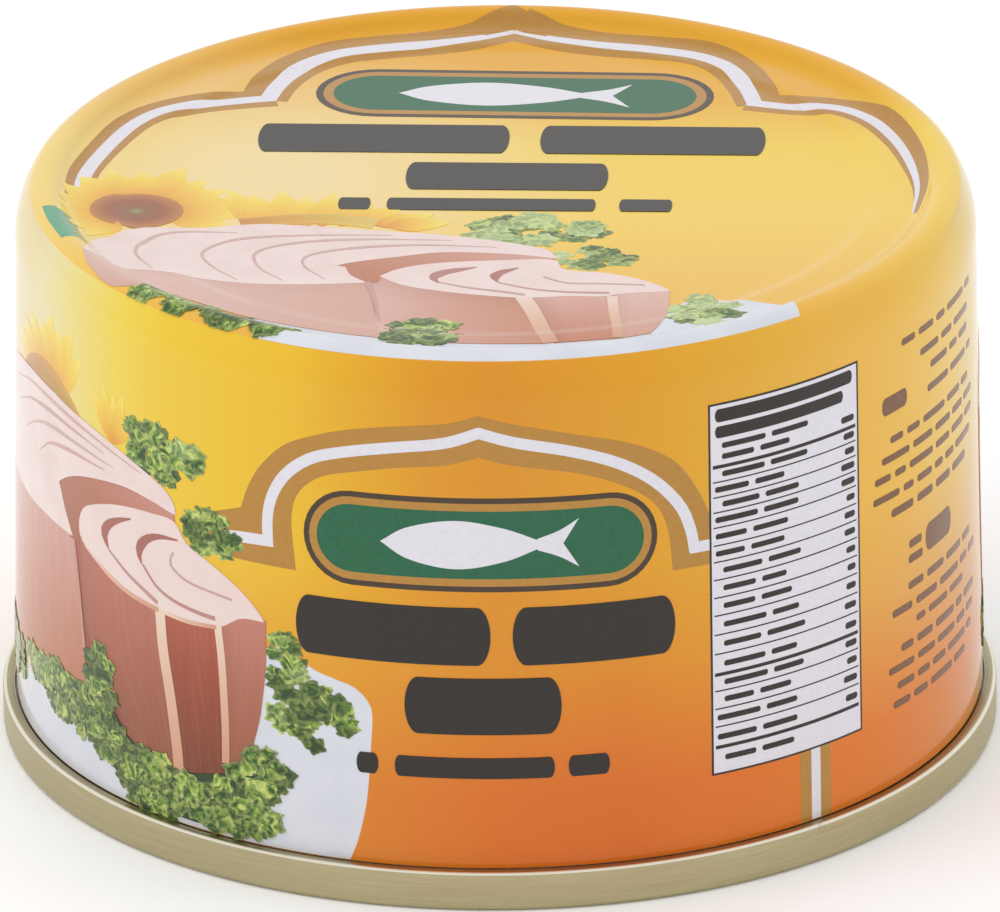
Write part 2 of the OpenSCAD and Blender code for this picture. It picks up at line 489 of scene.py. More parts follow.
def ink(name, material, layer, wall=(), lid=(), part_rise=0.0015):
    """One printed layer as thin closed films on the can. wall and lid hold (tone, patch) pairs. A
    patch is a grid of spots in millimetres, and a wall patch is printed again half way round.
    Each film is a skin over its patch and one just inside the tin, joined round the rim. It is
    part_rise higher than the film before it, and after 40 films the rise starts again. UV maps:
    spot is in centimetres, and grain is the part of the way along and across the patch."""
    films = [(on_wall, order, tone, patch + [turn, 0])
             for turn in (0, repeat) for order, (tone, patch) in enumerate(wall)]
    films += [(on_lid, order, tone, patch) for order, (tone, patch) in enumerate(lid)]
    points, quads, spots, grains, tones = [], [], [], [], []
    base = 0
    for surface, order, tone, patch in films:
        n, m = patch.shape[:2]
        skin = surface(patch, film_rise * (1 + layer) + part_rise * (order % 40))
        root = surface(patch, -ink_root)
        along, across = root[1:] - root[:-1], root[:, 1:] - root[:, :-1]
        facing = np.cross(along[:, :-1], across[:-1]).sum((0, 1))
        outward = root.reshape(-1, 3).mean(0) if surface is on_wall else np.array([0, 0, 1])
        k = base + np.arange(n * m).reshape(n, m)
        top = np.stack([k[:-1, :-1], k[1:, :-1], k[1:, 1:], k[:-1, 1:]], -1).reshape(-1, 4)
        rim = np.concatenate([k[:, 0], k[-1, 1:], k[-2::-1, -1], k[0, -2:0:-1]])
        after = np.roll(rim, -1)
        if np.allclose(patch[0], patch[-1]):
            rim, after = k[:-1, -1], k[1:, -1]
        side = np.stack([after, rim, rim + n * m, after + n * m], -1)
        film = np.concatenate([top, top[:, ::-1] + n * m, side])
        grain = np.stack(np.meshgrid(np.linspace(0, 1, n), np.linspace(0, 1, m), indexing="ij"), -1)
        points += [skin.reshape(-1, 3), root.reshape(-1, 3)]
        quads.append(film[:, ::-1] if facing @ outward < 0 else film)
        spots.append(np.tile(patch.reshape(-1, 2) / 10, (2, 1)))
        grains.append(np.tile(grain.reshape(-1, 2), (2, 1)))
        tones.append(np.full(2 * n * m, float(tone)))
        base += 2 * n * m
    quads = np.concatenate(quads)
    mesh = bpy.data.meshes.new(name)
    mesh.from_pydata(np.concatenate(points), [], quads)
    for key, values in (("spot", spots), ("grain", grains)):
        corners = np.concatenate(values)[quads.ravel()].astype(np.float32)
        mesh.uv_layers.new(name=key).data.foreach_set("uv", corners.ravel())
    tone_of = mesh.attributes.new("tone", "FLOAT", "POINT")
    tone_of.data.foreach_set("value", np.concatenate(tones).astype(np.float32))
    close_and_smooth(mesh, 2e-7, 50)
    mesh.materials.append(material)
    piece = linked(name, mesh)
    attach(piece, "root")


def plain(patches):
    """Patches that all have the middle tone, for an ink of one colour."""
    return [(0.5, patch) for patch in patches]


def plain_ink(name, dark, light, grain_mm=0.35):
    """One spot colour of litho ink under gloss lacquer, slightly mottled as ink lies on tin."""
    material, tree, shader = finish_of(name)
    lacquer(tree, shader)
    mottle = add(tree, "ShaderNodeTexNoise", {
        "Vector": add(tree, "ShaderNodeTexCoord").outputs["Object"],
        "Scale": 1 / (grain_mm * MM), "Detail": 2,
    }).outputs["Fac"]
    colour = add(tree, "ShaderNodeValToRGB", {"Fac": mottle}, stops=[(0.3, dark), (0.7, light)])
    tree.links.new(colour.outputs["Color"], shader.inputs["Base Color"])
    return material


tan_ink = plain_ink("tan_litho_ink", "#AE7C2C", "#B48232")
white_ink = plain_ink("white_litho_ink", "#D9D6DE", "#DFDCE4")

# The line's foot comes down below the facts panel
foot_line = [(23.1, 8.4), (23.1, 5.4), (23.1, 2.85)]
# Each tan band is ruled from its outer edge to its inner edge, part by part between the corners
wall_tan = [strip(outer, inner, wall_step) for outer, inner in (
    ([(-23.4, 24.9), (-21, 26.2), (-18.3, 27.2)], [(-19.5, 23.4), (-16.8, 23.4), (-14.1, 23.4)]),
    ([(-18.3, 27.2), (-17.7, 28.9), (-16.7, 30.6), (-14.9, 32.4), (-12.5, 33.5), (-10.1, 34.2),
      (-7.1, 34.7), (-3.5, 35.1), (-1.3, 35.7)],
     [(-14.1, 23.4), (-14.4, 27.2), (-13.8, 29.2), (-12.2, 30.5), (-10.1, 31.1), (-7, 31.7),
      (-3.5, 32.1), (-1.3, 32.7)]),
    ([(-1.3, 35.7), (1, 35.1), (5.1, 34.2), (9.2, 33.1), (12.2, 31.4), (14, 28.8), (14.9, 26.6)],
     [(-1.3, 32.7), (1, 32.1), (5.1, 31.4), (8.2, 30.3), (10.5, 28.8), (11.6, 26.8), (12, 23.5)]),
    ([(14.9, 26.6), (15.4, 26.5)], [(12, 23.5), (15.4, 23.5)]),
)]
wall_tan.append(ribbon(foot_line, 2.7, wall_step))
wall_white = [ribbon(line, 0.8, wall_step) for line in (
    [(-20.5, 24.6), (-18.7, 25.0), (-15.8, 25.2)],
    [(-16.2, 24.9), (-16.2, 27.1), (-15.7, 28.9), (-14.6, 30.5), (-12.8, 31.8), (-10.2, 32.6),
     (-7, 33.2), (-3.6, 33.7), (-1.2, 34.5)],
    [(-1.4, 34.5), (1, 33.8), (4.8, 33.0), (8.0, 31.9), (10.6, 30.3), (12.5, 28.2), (13.3, 26.3),
     (13.6, 24.6)],
    [(13.3, 24.9), (14.2, 24.9), (15.4, 24.9)],
    foot_line,
)]
# Parts of the line on the closed end: its white width, tan width and how far out the tan lies
lid_parts = [
    ((1.0, 1.1), (1.8, 2.6, 3.2), 0.1,
     [(-28.3, -2.5), (-28.1, 2.0), (-27.3, 5.5), (-25.6, 10.2), (-24.3, 12.7), (-22.7, 14.5),
      (-20.2, 15.8), (-17.2, 16.6), (-15.1, 17.0)]),
    ((1.2, 1.3, 1.3, 0.7), (3.4, 3.8), 0.3,
     [(-15.6, 16.6), (-15.0, 18.9), (-14.1, 21), (-12.7, 23.0), (-10.6, 24.6), (-7.7, 25.5),
      (-4.3, 26.2), (-1, 27.2), (1.4, 28.3)]),
    ((0.7, 1.2, 1.2, 1.1), (3.8, 3.2), 0.3,
     [(1.4, 28.3), (4, 26.9), (7.3, 25.7), (10.7, 24.8), (14, 23.5), (16.1, 21.4), (17.3, 18.1),
      (17.9, 14.9)]),
    ((1.1, 0.9, 0.6, 0.1), (3.2, 2.6, 1.8, 0.3), 0.2,
     [(17.4, 15.4), (20.2, 14.5), (23.2, 13.9), (24.9, 12.7), (26.3, 10.6), (27.6, 7), (28.4, 3),
      (28.7, -1), (28.3, -5.5)]),
]
lid_white = [ribbon(line, white, lid_step) for white, tan, out, line in lid_parts]
lid_tan = [ribbon(line, tan, lid_step, out) for white, tan, out, line in lid_parts]
lid_tan += [strip(outer, inner, lid_step) for outer, inner in (
    ([(-1.8, 29.2), (0.2, 30.2), (1.4, 31.0)], [(-0.6, 27.6), (0.6, 28.2), (1.4, 28.6)]),
    ([(1.4, 31.0), (2.4, 29.9), (4.6, 28.9)], [(1.4, 28.6), (2.2, 28.0), (3.6, 27.3)]),
)]
ink("frame_tan_bands", tan_ink, 0, wall=plain(wall_tan), lid=plain(lid_tan))
ink("frame_white_line", white_ink, 1, wall=plain(wall_white), lid=plain(lid_white))

# ----------------------------------------
# Print: badge. A green lozenge with straight sides and round ends, edged in dark and tan ink, with
# a plain white fish. It is overprinted in four passes on the wall and on the closed end.
# ----------------------------------------

green_ink = plain_ink("green_litho_ink", "#085936", "#0E613D")
brown_ink = plain_ink("brown_litho_ink", "#3B2A16", "#44311B")

badge_high = 6.8
# Middle, length, height, turn in degrees and step, on the wall and on the closed end
badge_spots = ((np.array([-1.3, 26.35]), 24.4, badge_high, 0, wall_step),
               (np.array([1.4, 17.2]), 27.4, 8.6, -3.5, lid_step))


def bar(middle, length, high, step, turn=0, round_part=0.5):
    """A level bar with elliptic ends, turned by some degrees. round_part is the length of an end
    as a part of the height: half height h at a distance u inside the end is
    high / 2 * sqrt(1 - (1 - u / e)^2)."""
    e = max(high * round_part, 1e-6)
    u = (1 - np.cos(np.linspace(0, np.pi / 2, 9))) * e
    x = np.concatenate([u, np.linspace(e, length - e, max(3, int(length / step)) + 1)[1:-1],
                        length - u[::-1]]) - length / 2
    inside = np.clip((length / 2 - np.abs(x)) / e, 0, 1)
    half = high / 2 * np.sqrt(1 - (1 - inside) ** 2)
    v = np.linspace(1, -1, max(1, math.ceil(high / step)) + 1)
    grid = np.stack(np.broadcast_arrays(x[:, None], half[:, None] * v), -1)
    c, s = math.cos(math.radians(turn)), math.sin(math.radians(turn))
    return grid @ np.array([[c, s], [-s, c]]) + middle


def fish(at, long, turn, step):
    """A plain fish facing left: a lens for the body and a forked tail, scaled to its length."""
    c, s = math.cos(math.radians(turn)), math.sin(math.radians(turn))
    place = lambda line: np.array(line) * long @ np.array([[c, s], [-s, c]]) + at
    back = place([(-0.5, 0), (-0.36, 0.085), (-0.12, 0.13), (0.12, 0.09), (0.3, 0.02)])
    belly = place([(-0.5, 0), (-0.36, -0.085), (-0.12, -0.13), (0.12, -0.09), (0.3, -0.02)])
    tail = [place([(0.29, side * 0.03), (0.4, side * 0.07), (0.5, side * 0.13)]) for side in (1, -1)]
    fork = place([(0.29, 0), (0.38, 0), (0.42, 0)])
    return [strip(back, belly, step)] + [strip(edge, fork, step) for edge in tail]


for name, material, slot, layer, inset in (
    ("badge_dark_edge", brown_ink, "dark_ink", 2, 0),
    ("badge_tan_edge", tan_ink, "tan_ink", 3, 0.4),
    ("badge_green_field", green_ink, "green_ink", 4, 0.95),
):
    on_side, on_end = (
        bar(at, long - 2 * inset * high / badge_high, high - 2 * inset * high / badge_high, step, turn)
        for at, long, high, turn, step in badge_spots
    )
    ink(name, material, layer, wall=plain([on_side]), lid=plain([on_end]))
fish_step = 0.5
ink("badge_fish", white_ink, 5,
    wall=plain(fish(badge_spots[0][0], 13.5, 0, fish_step)),
    lid=plain(fish(badge_spots[1][0], 16, -3.5, lid_step)))

# ----------------------------------------
# Print: title bars. Plain rounded bars of dark ink stand where a pack names its contents: two
# long ones, one short one and a thin row, on the wall and again on the closed end.
# ----------------------------------------

dark_ink = plain_ink("dark_litho_ink", "#1A130C", "#211911")
# Middle, length and height of each bar
wall_bars = [(-7.35, 19.7, 13.5, 4.2), (6.5, 19.7, 11.2, 4.2), (-1.15, 14.6, 10.6, 4.1),
             (-9.05, 10.1, 1.5, 1.5), (-1.75, 10.1, 10.8, 1.5), (6.0, 10.1, 2.8, 1.5)]
lid_bars = [(-7.6, 9.45, 17.2, 5.0), (10.8, 8.6, 15.4, 5.0), (0.8, 2.4, 13.8, 4.8),
            (-9.6, -2.2, 2.2, 2.1), (-0.3, -2.6, 14.2, 2.1), (10.2, -3.05, 3.6, 2.1)]
lid_bar_step, lid_bar_turn = 0.5, -2.6
ink("title_bars", dark_ink, 11,
    wall=plain([bar((x, y), long, high, wall_step, 0, 0.22) for x, y, long, high in wall_bars]),
    lid=plain([bar((x, y), long, high, lid_bar_step, lid_bar_turn, 0.12)
               for x, y, long, high in lid_bars]))

# ----------------------------------------
# Print: facts panel and small print. A white panel with dark rules and short bars where a table
# has its entries, and rows of thin dark bars to its right, all flat ink on the wall.
# ----------------------------------------


def level(start, end, middle, high):
    """A level rectangle as a patch."""
    return strip([(start, middle + high / 2), (end, middle + high / 2)],
                 [(start, middle - high / 2), (end, middle - high / 2)], wall_step)


panel_left, panel_right, panel_low, panel_high = 14.7, 27.5, 8.0, 35.0
panel_middle, panel_tall = (panel_low + panel_high) / 2, panel_high - panel_low
ink("facts_panel", white_ink, 3,
    wall=plain([level(panel_left, panel_right, panel_middle, panel_tall)]))
rim_w, thick_w, thin_w, rule_margin = 0.14, 0.26, 0.1, 0.3
rules = [(h, thick_w) for h in (30.4, 15.3, 10.0)]
rules += [(h, thin_w) for h in (29.3, 28.2, 27.1, 26.0, 24.7, 23.5, 22.2, 20.9, 19.6, 18.2, 16.8,
                                14.1, 12.8, 11.5)]
marks = [level(panel_left + rule_margin, panel_right - rule_margin, h, high) for h, high in rules]
marks += [level(panel_left, panel_right, h, rim_w)
          for h in (panel_low + rim_w / 2, panel_high - rim_w / 2)]
marks += [level(s, s + rim_w, panel_middle, panel_tall) for s in (panel_left, panel_right - rim_w)]
marks += [bar((21.05, 34.1), 11.7, 0.95, wall_step, 0, 0.3),
          bar((20.6, 32.9), 10.8, 0.85, wall_step, 0, 0.3)]
draw = np.random.default_rng(7)
entry_high, amount_high, gap, amount_end = 0.4, 0.46, 0.5, 27.05
for h in (31.9, 31.1, 29.85, 28.75, 27.65, 26.55, 25.35, 24.1, 22.85, 21.55, 20.25, 18.9, 17.5,
          16.05, 14.7, 13.45, 12.15, 10.75, 9.2):
    start = 15.15 + 0.55 * draw.integers(0, 2)
    first, second = draw.uniform(2.2, 3.6), draw.uniform(2.0, 3.4)
    parts = [(start + first / 2, first, entry_high),
             (start + first + gap + second / 2, second, entry_high)]
    if 10 < h < 31.5:
        last = draw.uniform(0.8, 1.3)
        parts.append((amount_end - last / 2, last, amount_high))
    marks += [bar((s, h), long, high, wall_step, 0, 0.4) for s, long, high in parts]
ink("facts_panel_rules", dark_ink, 4, wall=plain(marks), part_rise=0.0004)

# Rows of small print: height, start and end round the wall, and how thick the row is
small_rows = [(34.6, 32.5, 45.0, 0.5), (33.0, 35.0, 44.5, 0.5), (31.6, 36.5, 44.0, 0.5),
              (30.0, 36.0, 45.0, 0.5), (28.0, 31.0, 44.5, 0.5), (26.7, 30.0, 45.5, 0.5),
              (25.4, 29.2, 45.0, 0.5), (24.0, 29.0, 44.5, 0.5), (22.6, 31.0, 43.0, 0.6),
              (16.6, 33.0, 44.0, 0.55), (15.2, 31.0, 45.5, 0.55), (13.9, 34.0, 42.0, 0.5),
              (12.4, 32.0, 45.0, 0.55), (11.1, 30.5, 45.5, 0.5), (9.8, 31.5, 44.0, 0.5),
              (8.5, 31.0, 43.5, 0.5)]
prints = [bar((s, h), long, high, wall_step, 0, 0.3) for s, h, long, high in (
    (31.6, 30.6, 3.0, 1.3), (34.0, 19.6, 1.7, 0.6), (34.0, 18.5, 1.9, 0.6), (37.5, 19.2, 4.2, 2.0))]
word_gap = 0.55
for h, start, end, high in small_rows:
    while start < end - 1:
        length = min(draw.uniform(1.2, 3.6), end - start)
        prints.append(bar((start + length / 2, h), length, high, wall_step, 0, 0.4))
        start += length + word_gap
ink("small_print_rows", plain_ink("brown_small_print_ink", "#6E4420", "#7A4E26"), 2,
    wall=plain(prints), part_rise=0.0004)

# ----------------------------------------
# Print: plate. The serving picture is in simple flat shapes of shaded litho ink, on the wall and
# again on the closed end. Its ground is a white plate with a rounded rim, in cool pale grey.
# ----------------------------------------


def ruled(rows, step):
    """Each row's tone with the patch ruled between its two lines."""
    return [(tone, strip(first, second, step)) for tone, first, second in rows]


plate_wall = ruled([
    (0.5, [(-14.6, 17.8), (-13.1, 16.5), (-11.3, 15.9), (-10, 15.5), (-9.1, 14.7), (-8.7, 13.7),
           (-8.8, 11.3), (-9.1, 7.4), (-9.7, 4.5), (-10.3, 2.85)],
     [(-17.5, 17.0), (-19, 14), (-20, 10), (-21, 6), (-21, 2.85)]),
    (0.5, [(-56, 3.0), (-53, 5.2), (-48, 6.6), (-42, 7.0), (-38.1, 7.2), (-34, 7.6), (-30, 7.2),
           (-20, 6.6)],
     [(-56, 2.85), (-38, 2.85), (-20, 2.85)]),
], wall_step)
# On the closed end the plate's front edge follows the crown
crown_edge = art_r - 0.02
plate_lid = ruled([
    (0.5, [(-16.5, -22.8), (-8, -24.5), (0, -26), (8, -24), (13, -20.0), (16, -20.1),
           (19.6, -21.4)],
     arc((0, 0), crown_edge, -121, -50, 39)),
], lid_step)
ink("picture_plate", plain_ink("plate_litho_ink", "#CFD2DB", "#D8DAE2", 3), 1,
    wall=plate_wall, lid=plate_lid)

# ----------------------------------------
# Print: sunflowers. Two heads stand behind the fish, of pointed yellow petals round a brown heart.
# On the closed end a fold of green cloth lies beside them.
# ----------------------------------------


def shaded_ink(name):
    """A lacquered ink for the picture, and what its colour may follow: the grain map and its two
    parts, along and across, the spot map and the tone."""
    material, tree, shader = finish_of(name)
    lacquer(tree, shader)
    grain = add(tree, "ShaderNodeUVMap", uv_map="grain").outputs["UV"]
    parts = add(tree, "ShaderNodeSeparateXYZ", {"Vector": grain}).outputs
    where = add(tree, "ShaderNodeUVMap", uv_map="spot").outputs["UV"]
    tone = add(tree, "ShaderNodeAttribute", attribute_name="tone").outputs["Fac"]
    return material, tree, shader, grain, parts["X"], parts["Y"], where, tone


def petal(root, tip, wide, step):
    """A pointed leaf from root to tip. Its half width is wide / 2 * sin(pi * t ** 0.8)."""
    root, tip = np.array(root, float), np.array(tip, float)
    t = np.linspace(0, 1, 13)[:, None]
    side = np.array([[0, 1], [-1, 0]]) @ (tip - root) / np.hypot(*(tip - root))
    bulge = wide / 2 * np.sin(np.pi * t ** 0.8) * side
    middle = root * (1 - t) + tip * t
    v = np.linspace(1, -1, max(2, math.ceil(wide / step)) + 1)
    return middle[:, None] + bulge[:, None] * v[None, :, None]


petal_ink, tree, shader, grain, along, across, where, tone = shaded_ink("petal_litho_ink")
# Sunflower petal: orange at its root and clear yellow at its tip. Tone 1 is the brown heart.
# Its veins run along it, about 9 to the petal's width.
drawn_out = add(tree, "ShaderNodeVectorMath", {0: grain, 1: (1, 9, 1)}, operation="MULTIPLY")
vein = add(tree, "ShaderNodeTexNoise", {
    "Vector": drawn_out.outputs["Vector"], "Scale": 1, "Detail": 3,
})
veined = add(tree, "ShaderNodeValToRGB", {"Fac": vein.outputs["Fac"]},
             stops=[(0.4, "#000000"), (0.7, "#606060")])
yellow = add(tree, "ShaderNodeValToRGB", {"Fac": along}, stops=[
    (0.0, "#D88E30"), (0.3, "#E6B03A"), (0.7, "#EBCB48"), (1.0, "#F0DC70"),
])
yellow = add(tree, "ShaderNodeMix", {
    0: veined.outputs["Color"], 6: yellow.outputs["Color"], 7: "#E0A63A",
}, data_type="RGBA")
heart = add(tree, "ShaderNodeValToRGB", {"Fac": across}, stops=[
    (0.0, "#8E8C62"), (0.22, "#8C5A36"), (0.6, "#97552E"), (1.0, "#B97A3C"),
])
flower_ink = add(tree, "ShaderNodeMix", {
    0: tone, 6: yellow.outputs[2], 7: heart.outputs["Color"],
}, data_type="RGBA")
tree.links.new(flower_ink.outputs[2], shader.inputs["Base Color"])

draw = np.random.default_rng(11)
wall_tips = [(-33.9, 33.3), (-35.1, 34.9), (-36.9, 34.5), (-38.5, 35.1), (-40.2, 34.2),
             (-42.6, 33.8), (-44.6, 32.7), (-46.2, 31.2)]
small_tips = [(-32.4, 31.9), (-31.2, 32.7), (-30.0, 32.2), (-28.9, 32.6), (-27.9, 31.4)]
wall_heart = np.array([-39.0, 29.0])
wall_flower = [(0.0, petal(wall_heart * 0.75 + np.array(tip) * 0.25, tip, 2.3, wall_step))
               for tip in wall_tips]
wall_flower += [(0.0, petal((-30, 28.6), tip, 1.3, wall_step)) for tip in small_tips]
wall_flower += ruled([
    (0.62, [(-45.0, 28.6), (-41, 28.9), (-37, 28.9), (-33.4, 28.4)],
     [(-45.0, 28.9), (-43.2, 30.4), (-40.6, 31.3), (-38, 31.2), (-35.4, 30.1), (-33.4, 28.6)]),
], wall_step)
flower, heart_r, petal_wide = np.array([-24.4, -3.2]), 3.2, 2.6
lid_flower = []
for angle in np.radians(np.linspace(-25, 235, 15)):
    reach = 7.6 if angle < math.radians(120) else 6.2
    way = np.array([math.cos(angle), math.sin(angle)])
    while np.hypot(*(flower + (reach + 0.9) * way)) > art_r - 0.8:
        reach -= 0.3
    tip = flower + (reach + draw.uniform(-0.6, 0.9)) * way
    lid_flower.append((0.0, petal(flower + 2.4 * way, tip, petal_wide, lid_step)))
lid_flower += [(0.0, petal((x * 0.55 - 5.8, -6.2), (x, y), 2.4, lid_step)) for x, y in (
    (-18.2, 0.6), (-16.6, -0.4), (-14.6, 0.2), (-12.9, -0.9), (-11.0, -0.2), (-8.6, -0.8),
    (-6.4, -2.6), (-4.2, -4.2), (-3.0, -5.8))]
low_edge = [(-17.3, -5.6), (-13.5, -4.9), (-11, -5.0), (-8.2, -5.8)]
lid_flower.append((0.35, ribbon(low_edge, 1.7, lid_step)))
rim = arc((0, 0), heart_r, 0, 360, 24) * [1, 0.95]
rim[-1] = rim[0]
lid_flower.append((1.0, flower + rim[:, None] * np.linspace(0, 1, 8)[None, :, None]))
ink("picture_sunflowers", petal_ink, 2, wall=wall_flower, lid=lid_flower,
    part_rise=0.001)
ink("picture_green_cloth", plain_ink("pale_green_litho_ink", "#5B9C79", "#66A583"), 1,
    lid=ruled([(0.5, [(-30.8, -4.7), (-30.3, -7.3), (-29.4, -10.3)],
                [(-28.6, -4.8), (-28.3, -7.6), (-27.6, -10.0)])], lid_step))

# ----------------------------------------
# Print: lettuce behind. Loose clumps of curly lettuce, whose leaves are many small frilled shapes
# in green ink, printed before the fish so that they stand behind it.
# ----------------------------------------


def frill(at, wide, draws):
    """A curled leaf seen flat. Its radius at angle t is wide * (1 + a sin(5t + p) + b sin(9t + q))."""
    t = np.linspace(0, 2 * np.pi, 23)
    a, b = draws.uniform(0.12, 0.24), draws.uniform(0.06, 0.14)
    p, q = draws.uniform(0, 6.28, 2)
    r = wide * (1 + a * np.sin(5 * t + p) + b * np.sin(9 * t + q))
    r[-1] = r[0]
    rim = np.stack([r * np.cos(t), draws.uniform(0.6, 0.9) * r * np.sin(t)], 1)
    rim[-1] = rim[0]
    return np.array(at) + rim[:, None] * np.linspace(0, 1, 4)[None, :, None]


def clump(places, draws, light=1.0):
    """Frilled leaves over some patches of ground, each a middle, half width, half height, count
    and leaf size. The dark ones come first, under the light ones, whose tone is up to light."""
    leaves = []
    for x, y, wide, high, count, size in places:
        for number in range(count):
            r, t = math.sqrt(draws.uniform()), draws.uniform(0, 2 * math.pi)
            at = (x + wide * r * math.cos(t), y + high * r * math.sin(t))
            tone = (0.3 if number < count * 0.4 else draws.uniform(0.6, 1)) * light
            leaves.append((tone, frill(at, size * draws.uniform(0.7, 1.2), draws)))
    return leaves


leaf_ink, tree, shader, grain, along, across, where, tone = shaded_ink("lettuce_litho_ink")
# Curly lettuce: curls 1 mm across, dark inside, pale along each frilled edge. Tone 2 is bleached.
curl = add(tree, "ShaderNodeTexNoise", {"Vector": where, "Scale": 10, "Detail": 3, "Distortion": 2.0})
leaf = add(tree, "ShaderNodeValToRGB", {"Fac": curl.outputs["Fac"]}, stops=[
    (0.36, "#25400F"), (0.46, "#4C7226"), (0.55, "#86A23C"), (0.66, "#C6CE74"),
]).outputs["Color"]
frilled = add(tree, "ShaderNodeValToRGB", {"Fac": across}, stops=[(0.66, "#000000"), (1.0, "#A0A0A0")])
bleached = add(tree, "ShaderNodeMapRange", {"Value": tone, "From Min": 1, "From Max": 2})
leaf = add(tree, "ShaderNodeMix", {0: frilled.outputs["Color"], 6: leaf, 7: "#D2D88C"},
           data_type="RGBA").outputs[2]
leaf = add(tree, "ShaderNodeMix", {0: tone, 6: "#233D14", 7: leaf}, data_type="RGBA").outputs[2]
leaf = add(tree, "ShaderNodeMix", {0: bleached.outputs["Result"], 6: leaf, 7: "#C6D79C"},
           data_type="RGBA").outputs[2]
tree.links.new(leaf, shader.inputs["Base Color"])

wall_back = clump([(-25.2, 29.4, 4.0, 1.7, 34, 0.95), (-20.9, 24.6, 2.3, 1.3, 20, 0.85),
                   (-14.9, 16.6, 1.3, 1.8, 14, 0.8), (-12.8, 12.7, 3.0, 2.2, 30, 0.9)], draw, 1.25)
lid_back = clump([(2.6, -7.3, 4.2, 2.2, 34, 1.1), (6.4, -12.2, 2.6, 1.8, 18, 0.9),
                  (13.8, -21.6, 2.4, 2.4, 22, 1.0)], draw, 1.85)
ink("picture_lettuce_behind", leaf_ink, 3, wall=wall_back, lid=lid_back,
    part_rise=0.001)

# ----------------------------------------
# Print: block of fish. A thick block of cooked tuna, cut through behind three slices at its right
# end: pink-brown fibrous sides, the inner wall of the cut, and pale faces on top.
# ----------------------------------------

tuna_side_ink, tree, shader, grain, along, across, where, tone = shaded_ink("tuna_side_litho_ink")
# Torn side of the meat: fibres run down it, and it darkens downwards. Tone 1 is the deepest,
# and below 0 it is bleached.
fibre, fine = (
    add(tree, "ShaderNodeTexNoise", {
        "Vector": add(tree, "ShaderNodeVectorMath", {0: grain, 1: features},
                      operation="MULTIPLY").outputs["Vector"],
        "Scale": 1, "Detail": 3,
    }).outputs["Fac"]
    for features in ((1.2, 14, 1), (2.5, 45, 1))
)
light_side, deep_side = (
    add(tree, "ShaderNodeValToRGB", {"Fac": along}, stops=stops).outputs["Color"]
    for stops in (((0.0, "#D3A498"), (0.5, "#C88C76"), (1.0, "#BC7450")),
                  ((0.0, "#AE563E"), (0.4, "#984328"), (1.0, "#703216")))
)
side = add(tree, "ShaderNodeMix", {0: tone, 6: light_side, 7: deep_side},
           data_type="RGBA").outputs[2]
for follows, stops, colour in (
    (fibre, ((0.42, "#000000"), (0.70, "#585858")), "#D8987E"),
    (fine, ((0.35, "#606060"), (0.6, "#000000")), "#8A4C36"),
    (across, ((0.0, "#808080"), (0.3, "#000000")), "#7C4534"),
):
    amount = add(tree, "ShaderNodeValToRGB", {"Fac": follows}, stops=stops).outputs["Color"]
    side = add(tree, "ShaderNodeMix", {0: amount, 6: side, 7: colour}, data_type="RGBA").outputs[2]
bleached = add(tree, "ShaderNodeMapRange", {"Value": tone, "From Min": 0, "From Max": -1})
side = add(tree, "ShaderNodeMix", {0: bleached.outputs["Result"], 6: side, 7: "#E4CBC2"},
           data_type="RGBA").outputs[2]
tree.links.new(side, shader.inputs["Base Color"])

# The block's side and the slices' sides, ruled from left edge to right edge
sides_wall = ruled([
    (1.0, [(-35.2, 21.0), (-34.9, 14), (-34.4, 6.4)], [(-33.0, 21.0), (-30.0, 14), (-27.5, 6.4)]),
    (0.12, [(-54.2, 23.2), (-54.1, 17.5), (-53.4, 12.0), (-51.8, 7.2)],
     [(-34.9, 20.4), (-34.5, 17.5), (-34.1, 15.2), (-33.6, 12.2), (-33.4, 9.0)]),
    (0.75, [(-34.2, 21.2), (-33.8, 17), (-33.2, 14), (-30.4, 10.7), (-28.9, 8.2), (-27.7, 6.2)],
     [(-25.2, 18.6), (-24.8, 15.2), (-24.2, 12.2), (-23.8, 9.8), (-23.5, 7.7), (-23.4, 6.2)]),
    (1.0, [(-25.1, 18.6), (-24.6, 15.2), (-24.0, 12.2), (-23.5, 9.8), (-23.2, 7.7), (-23.1, 6.2)],
     [(-20.1, 18.6), (-19.9, 15.8), (-19.7, 12.8), (-19.6, 10.4), (-19.5, 7.4)]),
    (0.62, [(-20.1, 19.2), (-19.7, 15.8), (-19.5, 12.8), (-19.4, 10.4), (-19.4, 7.9)],
     [(-16.4, 19.3), (-16.4, 16.1), (-16.7, 13.4), (-17, 11.6), (-17.7, 9.2), (-18.4, 7.9)]),
], wall_step)
sides_lid = ruled([
    (0.15, [(-9.0, -15.5), (-8.8, -20), (-8.2, -25.5)], [(-7.5, -15.5), (-7.2, -20), (-7.0, -25.5)]),
    (-0.45, [(-27.9, -12.6), (-27.5, -14.9), (-26, -18.0), (-24.0, -19.3)],
     [(-24.2, -13.8), (-23.7, -15.6), (-22.9, -17.4), (-22.7, -18.6)]),
    (-0.4, [(-25.0, -13.6), (-22.0, -14.2), (-18, -15.4), (-13.5, -16), (-8.8, -15.8)],
     [(-23.2, -17.4), (-20.1, -19.9), (-16.6, -22.6), (-12.0, -24.9), (-7.7, -26.4)]),
    (-0.1, [(-8.3, -15.2), (-5, -16.6), (-1, -18.0), (1.9, -18.7)],
     [(-8.0, -26.3), (-5, -27.1), (-1, -27.5), (3.2, -27.6)]),
    (0.0, [(2.1, -18.6), (2.9, -21.4), (3.4, -23.9), (3.9, -27.5)],
     [(7.9, -18.4), (8.0, -22), (8.1, -24.5), (8.1, -26.8)]),
    (-0.3, [(7.9, -17.9), (8.1, -22), (8.2, -24.5), (8.2, -26.8)],
     [(11.7, -18.2), (11.5, -21.7), (11.0, -24.2), (10.3, -26.0)]),
], lid_step)
